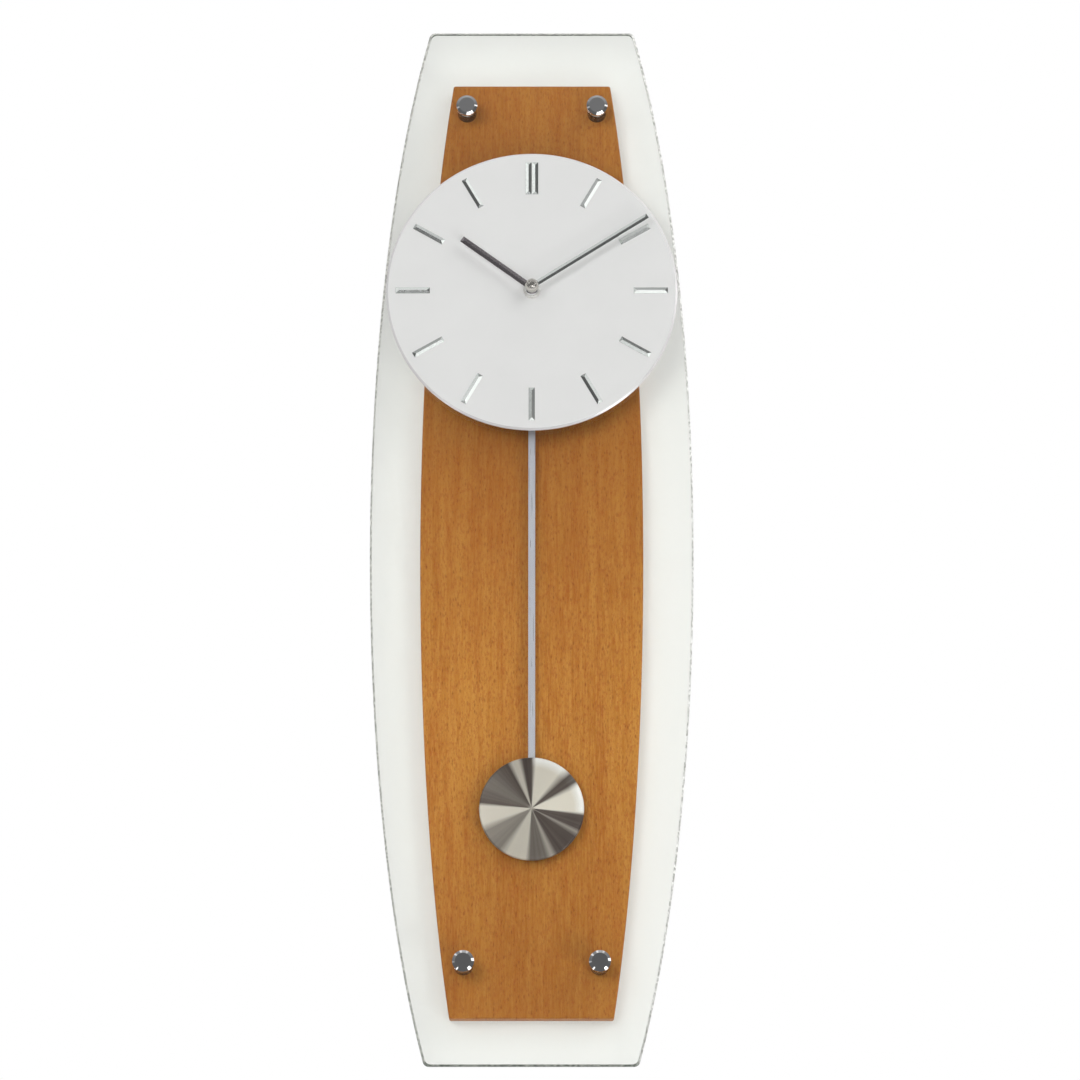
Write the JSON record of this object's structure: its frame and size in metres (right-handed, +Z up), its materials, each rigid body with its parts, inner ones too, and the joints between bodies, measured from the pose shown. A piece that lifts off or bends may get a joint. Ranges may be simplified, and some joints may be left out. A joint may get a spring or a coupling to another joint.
{
  "type": "radio-controlled pendulum clock",
  "caption": "Tall wall clock: clear glass plate on standoffs before a wooden panel, round silver dial with hands, and a pendulum swinging between glass and wood.",
  "frame": {"origin": "centre of the keyhole's entry hole in the hanger plate, in the plane of the wall", "axes": "+Z up along the clock, +Y into the wall, so the dial faces -Y, +X to the right as seen from the front"},
  "size_m": [0.211, 0.0454, 0.7],
  "materials": {
    "clear_glass": "clear float glass with ground edges",
    "beech_wood": "satin lacquered beech veneer",
    "chrome_fittings": "polished chrome",
    "black_nickel": "polished black nickel",
    "polished_steel": "polished, faceted",
    "plain_steel": "plain zinc-plated steel",
    "soft_clear": "translucent soft plastic",
    "black_rubber": "matt",
    "grey_felt": "pressed felt",
    "dial_silver": "fine blasted silver with a bright cut bevel",
    "white_nylon": "moulded, satin",
    "brass": "turned and cut brass",
    "black_plastic": "moulded, fine texture",
    "grey_plastic": "moulded, fine texture",
    "bridge_plastic": "moulded, satin",
    "soft_iron": "stamped sheet",
    "copper_winding": "enamelled copper wire",
    "board_green": "solder resist",
    "board_black": "moulded and potted",
    "ferrite": "sintered, matt",
    "cell_jacket": "plain printed jacket",
    "nickel_strip": "nickel-plated spring strip",
    "rod_steel": "brushed along its length",
    "bob_steel": "spun, brushed in circles",
    "weight_steel": "plain stamped steel",
    "button_white": "moulded, smooth"
  },
  "bodies": {
    "root": {"glass_plate": "clear_glass", "wood_panel": "beech_wood", "standoff_caps": "chrome_fittings", "dial_nut": "chrome_fittings", "threaded_bush": "chrome_fittings", "standoff_barrels": "black_nickel", "hour_markers": "polished_steel", "standoff_screws": "plain_steel", "hanger_screws": "plain_steel", "movement_screws": "plain_steel", "minute_wheel_post": "plain_steel", "pivot_pin": "plain_steel", "hanger_plate": "plain_steel", "glass_grommets": "soft_clear", "glass_gasket": "black_rubber", "wall_pads": "grey_felt", "dial": "dial_silver", "dial_spacer": "white_nylon", "movement_case": "black_plastic", "movement_cover": "grey_plastic", "gear_bridge": "bridge_plastic", "stator": "soft_iron", "motor_coil": "copper_winding", "antenna_winding": "copper_winding", "drive_coil": "copper_winding", "circuit_board": "board_green", "circuit_parts": "board_black", "ferrite_rod": "ferrite", "battery": "cell_jacket", "battery_contacts": "nickel_strip"},
    "minute": {"minute_arbor": "plain_steel", "centre_wheel": "brass", "cannon_pinion": "brass", "minute_hand": "polished_steel", "cap_nut": "chrome_fittings"},
    "hour": {"hour_wheel": "white_nylon", "hour_hand": "polished_steel"},
    "motion_wheel": {"minute_wheel": "white_nylon"},
    "third": {"third_wheel": "white_nylon"},
    "motor_rotor": {"rotor": "white_nylon", "rotor_magnet": "ferrite"},
    "pendulum": {"pendulum_lever": "white_nylon", "drive_magnet": "ferrite", "pendulum_rod": "rod_steel", "bob_cover": "bob_steel", "bob_weight": "weight_steel", "bob_clip": "weight_steel"},
    "set_key": {"set_button": "button_white"},
    "receive_key": {"receive_button": "button_white"},
    "reset_key": {"reset_button": "button_white"}
  },
  "joints": [
    {"name": "minute_turn", "type": "hinge", "parent": "root", "child": "minute", "pos_m": [0, 0, -0.094], "axis": [0, 1, 0], "continuous": true},
    {"name": "hour_turn", "type": "hinge", "parent": "root", "child": "hour", "pos_m": [0, 0, -0.094], "axis": [0, 1, 0], "continuous": true},
    {"name": "motion_wheel_turn", "type": "hinge", "parent": "root", "child": "motion_wheel", "pos_m": [-0.0096, 0, -0.094], "axis": [0, 1, 0], "continuous": true},
    {"name": "third_wheel_turn", "type": "hinge", "parent": "root", "child": "third", "pos_m": [0.0119, 0, -0.094], "axis": [0, 1, 0], "continuous": true},
    {"name": "rotor_turn", "type": "hinge", "parent": "root", "child": "motor_rotor", "pos_m": [0.02017, 0, -0.10094], "axis": [0, 1, 0], "continuous": true},
    {"name": "pendulum_swing", "type": "hinge", "parent": "root", "child": "pendulum", "pos_m": [0, 0, -0.1185], "axis": [0, 1, 0], "range_deg": [-6, 6]},
    {"name": "set_press", "type": "slide", "parent": "root", "child": "set_key", "axis": [0, -1, 0], "range_m": [0, 0.0006], "stiffness_N_per_m": 2000},
    {"name": "receive_press", "type": "slide", "parent": "root", "child": "receive_key", "axis": [0, -1, 0], "range_m": [0, 0.0006], "stiffness_N_per_m": 2000},
    {"name": "reset_press", "type": "slide", "parent": "root", "child": "reset_key", "axis": [0, -1, 0], "range_m": [0, 0.0006], "stiffness_N_per_m": 2000}
  ],
  "couplings": [
    {"joint": "hour_turn", "follows": "minute_turn", "ratio": 0.083333},
    {"joint": "motion_wheel_turn", "follows": "minute_turn", "ratio": -0.33333},
    {"joint": "third_wheel_turn", "follows": "minute_turn", "ratio": -7.5},
    {"joint": "rotor_turn", "follows": "minute_turn", "ratio": 60}
  ]
}
